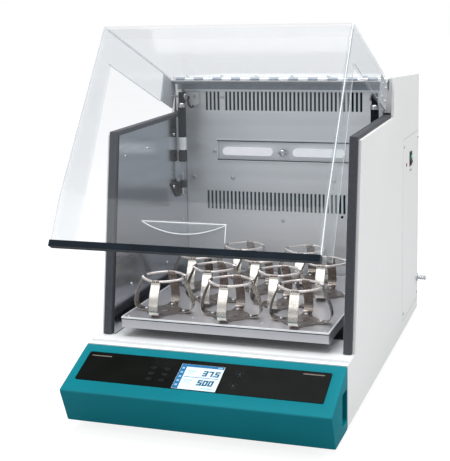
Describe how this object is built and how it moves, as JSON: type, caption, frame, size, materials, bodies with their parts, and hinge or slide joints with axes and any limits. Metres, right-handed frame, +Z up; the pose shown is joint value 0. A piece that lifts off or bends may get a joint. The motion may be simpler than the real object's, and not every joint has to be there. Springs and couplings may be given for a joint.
{
  "type": "incubated orbital shaker",
  "caption": "Benchtop heated orbital shaker: lift-up clear lid on gas struts, platform of spring flask clamps on a crank drive, and a sloping touch panel.",
  "frame": {"origin": "bottom centre of the whole object's box, lid open, on the bench", "axes": "+X to the operator's right, +Y to the rear, +Z up"},
  "size_m": [0.45, 0.8456, 0.6267],
  "materials": {
    "white_paint": "powder coated off-white sheet",
    "teal": "satin teal moulding",
    "black_glass": "black touch glass",
    "screen": "lit display",
    "stainless": "brushed stainless sheet and wire",
    "plated_steel": "plated steel",
    "gasket": "dark foam rubber",
    "acrylic": "clear acrylic",
    "dark_bar": "dark glossy edge trim",
    "black_plastic": "satin black",
    "black_steel": "black painted steel",
    "rubber": "black rubber",
    "lamp": "opal diffuser",
    "board": "green circuit board",
    "cast_iron": "machined iron",
    "cast_aluminium": "cast aluminium"
  },
  "bodies": {
    "cabinet": {"base_tray": "plated_steel", "chamber_liner": "stainless", "control_bezel": "teal", "control_board": "board", "display_glass": "black_glass", "drain_nipple": "stainless", "drive_belt": "rubber", "drive_frame": "cast_aluminium", "drive_motor": "black_steel", "duct_back_panel": "plated_steel", "fan_motor": "black_steel", "front_sill": "white_paint", "heater_element": "stainless", "hinge_fixed_leaf": "plated_steel", "left_gasket": "gasket", "right_gasket": "gasket", "left_lamp": "lamp", "right_lamp": "lamp", "left_side_panel": "white_paint", "right_side_panel": "white_paint", "louvre_panel": "stainless", "mains_inlet": "black_plastic", "power_switch_housing": "black_plastic", "rear_panel": "white_paint", "service_panel": "white_paint", "top_cover": "white_paint", "front_left_foot": "rubber", "front_right_foot": "rubber", "rear_left_foot": "rubber", "rear_right_foot": "rubber", "screen_module": "screen"},
    "lid": {"lid_canopy": "acrylic", "lid_left_side": "acrylic", "lid_right_side": "acrylic", "lid_rear_frame": "white_paint", "lid_bottom_bar": "dark_bar", "lid_handle": "acrylic", "hinge_moving_leaf": "plated_steel"},
    "left_strut_rod": {"left_strut_rod": "stainless"},
    "left_strut_cylinder": {"left_strut_cylinder": "black_steel"},
    "right_strut_rod": {"right_strut_rod": "stainless"},
    "right_strut_cylinder": {"right_strut_cylinder": "black_steel"},
    "crank": {"drive_crank": "cast_iron"},
    "left_idler": {"left_idler_crank": "cast_iron"},
    "right_idler": {"right_idler_crank": "cast_iron"},
    "motor_pulley": {"motor_pulley": "cast_iron"},
    "platform": {"platform_carrier": "cast_aluminium", "platform": "stainless", "flask_clamp_1": "stainless", "flask_clamp_2": "stainless", "flask_clamp_3": "stainless", "flask_clamp_4": "stainless", "flask_clamp_5": "stainless", "flask_clamp_6": "stainless", "flask_clamp_7": "stainless", "flask_clamp_8": "stainless", "flask_clamp_9": "stainless", "flask_clamp_10": "stainless"},
    "fan": {"fan_impeller": "cast_aluminium"},
    "rocker": {"power_rocker": "black_plastic"}
  },
  "joints": [
    {"name": "lid_hinge", "type": "hinge", "parent": "cabinet", "child": "lid", "pos_m": [-0.01, 0.11482, 0.522], "axis": [1, 0, 0], "range_deg": [0, 21]},
    {"name": "left_strut_pivot", "type": "hinge", "parent": "cabinet", "child": "left_strut_rod", "pos_m": [-0.195, 0.08783, 0.312], "axis": [1, 0, 0], "range_deg": [-4.81, 0.5]},
    {"name": "left_strut_stroke", "type": "slide", "parent": "left_strut_rod", "child": "left_strut_cylinder", "axis": [0, 0, 1], "range_m": [-0.0076, 0.0005]},
    {"name": "right_strut_pivot", "type": "hinge", "parent": "cabinet", "child": "right_strut_rod", "pos_m": [0.175, 0.08783, 0.312], "axis": [1, 0, 0], "range_deg": [-4.81, 0.5]},
    {"name": "right_strut_stroke", "type": "slide", "parent": "right_strut_rod", "child": "right_strut_cylinder", "axis": [0, 0, 1], "range_m": [-0.0076, 0.0005]},
    {"name": "main_shaft", "type": "hinge", "parent": "cabinet", "child": "crank", "pos_m": [-0.01, -0.06617, 0.06], "axis": [0, 0, 1], "continuous": true},
    {"name": "crank_pin", "type": "hinge", "parent": "crank", "child": "platform", "pos_m": [-0.01, -0.05668, 0.12], "axis": [0, 0, 1], "continuous": true},
    {"name": "left_idler_shaft", "type": "hinge", "parent": "cabinet", "child": "left_idler", "pos_m": [-0.12, -0.06617, 0.075], "axis": [0, 0, 1], "continuous": true},
    {"name": "right_idler_shaft", "type": "hinge", "parent": "cabinet", "child": "right_idler", "pos_m": [0.1, -0.06617, 0.075], "axis": [0, 0, 1], "continuous": true},
    {"name": "motor_shaft", "type": "hinge", "parent": "cabinet", "child": "motor_pulley", "pos_m": [-0.01, 0.08182, 0.032], "axis": [0, 0, 1], "continuous": true},
    {"name": "fan_shaft", "type": "hinge", "parent": "cabinet", "child": "fan", "pos_m": [-0.01, 0.16482, 0.205], "axis": [0, 1, 0], "continuous": true},
    {"name": "rocker_pivot", "type": "hinge", "parent": "cabinet", "child": "rocker", "pos_m": [0.204, 0.31583, 0.3525], "axis": [0, 1, 0], "range_deg": [0, 14]}
  ],
  "couplings": [
    {"joint": "left_strut_pivot", "follows": "lid_hinge", "ratio": -0.20502},
    {"joint": "left_strut_stroke", "follows": "lid_hinge", "m_per_rad": -0.019459},
    {"joint": "right_strut_pivot", "follows": "lid_hinge", "ratio": -0.20502},
    {"joint": "right_strut_stroke", "follows": "lid_hinge", "m_per_rad": -0.019459},
    {"joint": "crank_pin", "follows": "main_shaft", "ratio": -1},
    {"joint": "left_idler_shaft", "follows": "main_shaft", "ratio": 1},
    {"joint": "right_idler_shaft", "follows": "main_shaft", "ratio": 1},
    {"joint": "motor_shaft", "follows": "main_shaft", "ratio": 2.75}
  ]
}
